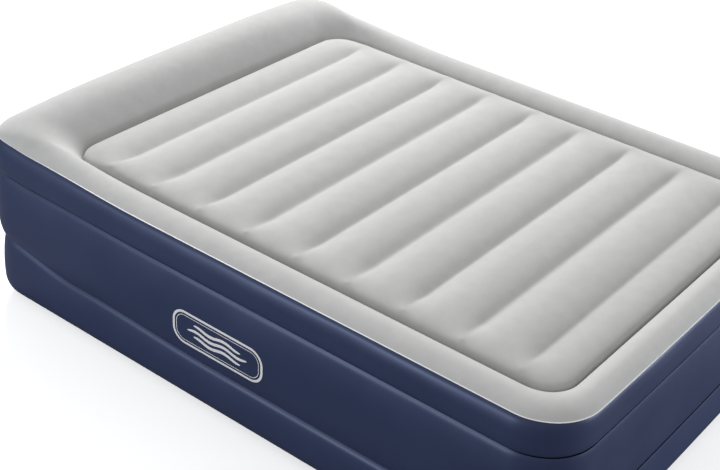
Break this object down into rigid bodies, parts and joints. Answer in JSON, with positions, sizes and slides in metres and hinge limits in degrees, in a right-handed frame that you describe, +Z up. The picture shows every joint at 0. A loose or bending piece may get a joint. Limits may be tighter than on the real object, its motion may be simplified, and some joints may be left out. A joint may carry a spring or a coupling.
{
  "type": "air mattress",
  "caption": "Raised queen-size air mattress with a flocked channelled top, raised pillow end, banded side wall and a built-in pump in one side.",
  "frame": {"origin": "middle of the object's footprint, on the floor", "axes": "+Z up, +Y towards the head end with the raised pillow, +X across towards the side that holds the pump"},
  "size_m": [1.5198, 2.0736, 0.6418],
  "materials": {
    "flocked_top": "short velvety flock on PVC",
    "wall_pvc": "satin navy PVC",
    "base_pvc": "matt embossed PVC",
    "seam_pvc": "pale welded edge",
    "inner_web": "plain PVC sheet",
    "pump_plastic": "fine spark-eroded ABS",
    "housing_plastic": "moulded ABS",
    "knob_plastic": "moulded ABS",
    "rocker_plastic": "polished nylon",
    "switch_plastic": "polished nylon",
    "seal_rubber": "matt rubber",
    "screw_steel": "zinc plated steel",
    "motor_steel": "plated sheet steel",
    "bearing_brass": "sintered bronze",
    "core_iron": "varnished laminations",
    "lead_sheath": "flexible PVC sheath"
  },
  "bodies": {
    "root": {"top_sheet": "flocked_top", "upper_band": "wall_pvc", "middle_band": "wall_pvc", "lower_band": "wall_pvc", "bottom_sheet": "base_pvc", "top_seam": "seam_pvc", "bottom_seam": "inner_web", "waist_web_upper": "inner_web", "waist_web_lower": "inner_web", "pump_collar": "wall_pvc", "seal_ring": "seal_rubber", "face_plate": "pump_plastic", "pump_housing": "housing_plastic", "plate_screws": "screw_steel", "director_sleeve": "housing_plastic", "switch_frame": "switch_plastic", "rocker_pin": "screw_steel", "cord_bay": "housing_plastic", "cord_gland": "seal_rubber", "door_pin": "screw_steel", "motor_can": "motor_steel", "motor_end_cap": "motor_steel", "motor_bearings": "bearing_brass", "stator_core": "core_iron", "motor_cushion": "seal_rubber", "motor_cradle": "housing_plastic", "volute_body": "housing_plastic", "volute_cover": "housing_plastic", "valve_seat": "housing_plastic", "valve_cage": "housing_plastic", "valve_spring": "screw_steel", "supply_lead": "lead_sheath", "motor_lead": "lead_sheath", "beam_1": "inner_web", "beam_2": "inner_web", "beam_3": "inner_web", "beam_4": "inner_web", "beam_5": "inner_web", "beam_6": "inner_web", "beam_7": "inner_web", "beam_8": "inner_web", "beam_9": "inner_web", "edge_beam_near": "inner_web", "edge_beam_far": "inner_web", "edge_beam_head": "inner_web", "edge_beam_foot": "inner_web"},
    "knob": {"control_knob": "knob_plastic", "director_drum": "housing_plastic"},
    "switch": {"rocker_switch": "rocker_plastic"},
    "cord_door": {"cord_bay_door": "pump_plastic"},
    "rotor": {"motor_shaft": "motor_steel", "armature": "core_iron", "impeller": "knob_plastic"},
    "valve": {"valve_disc": "seal_rubber"}
  },
  "joints": [
    {"name": "knob_turn", "type": "hinge", "parent": "root", "child": "knob", "pos_m": [0.748, 0.538, 0.3045], "axis": [1, 0, 0], "range_deg": [-60, 60]},
    {"name": "switch_rock", "type": "hinge", "parent": "root", "child": "switch", "pos_m": [0.751, 0.538, 0.2545], "axis": [0, 0, 1], "range_deg": [0, 14]},
    {"name": "door_swing", "type": "hinge", "parent": "root", "child": "cord_door", "pos_m": [0.7546, 0.65, 0.2527], "axis": [0, 1, 0], "range_deg": [0, 110]},
    {"name": "blower_spin", "type": "hinge", "parent": "root", "child": "rotor", "pos_m": [0.68, 0.592, 0.2965], "axis": [0, 1, 0], "continuous": true},
    {"name": "valve_slide", "type": "slide", "parent": "root", "child": "valve", "axis": [-1, 0, 0], "range_m": [0, 0.006], "stiffness_N_per_m": 60, "springref_m": -0.002, "deforming": ["valve_spring"]}
  ]
}
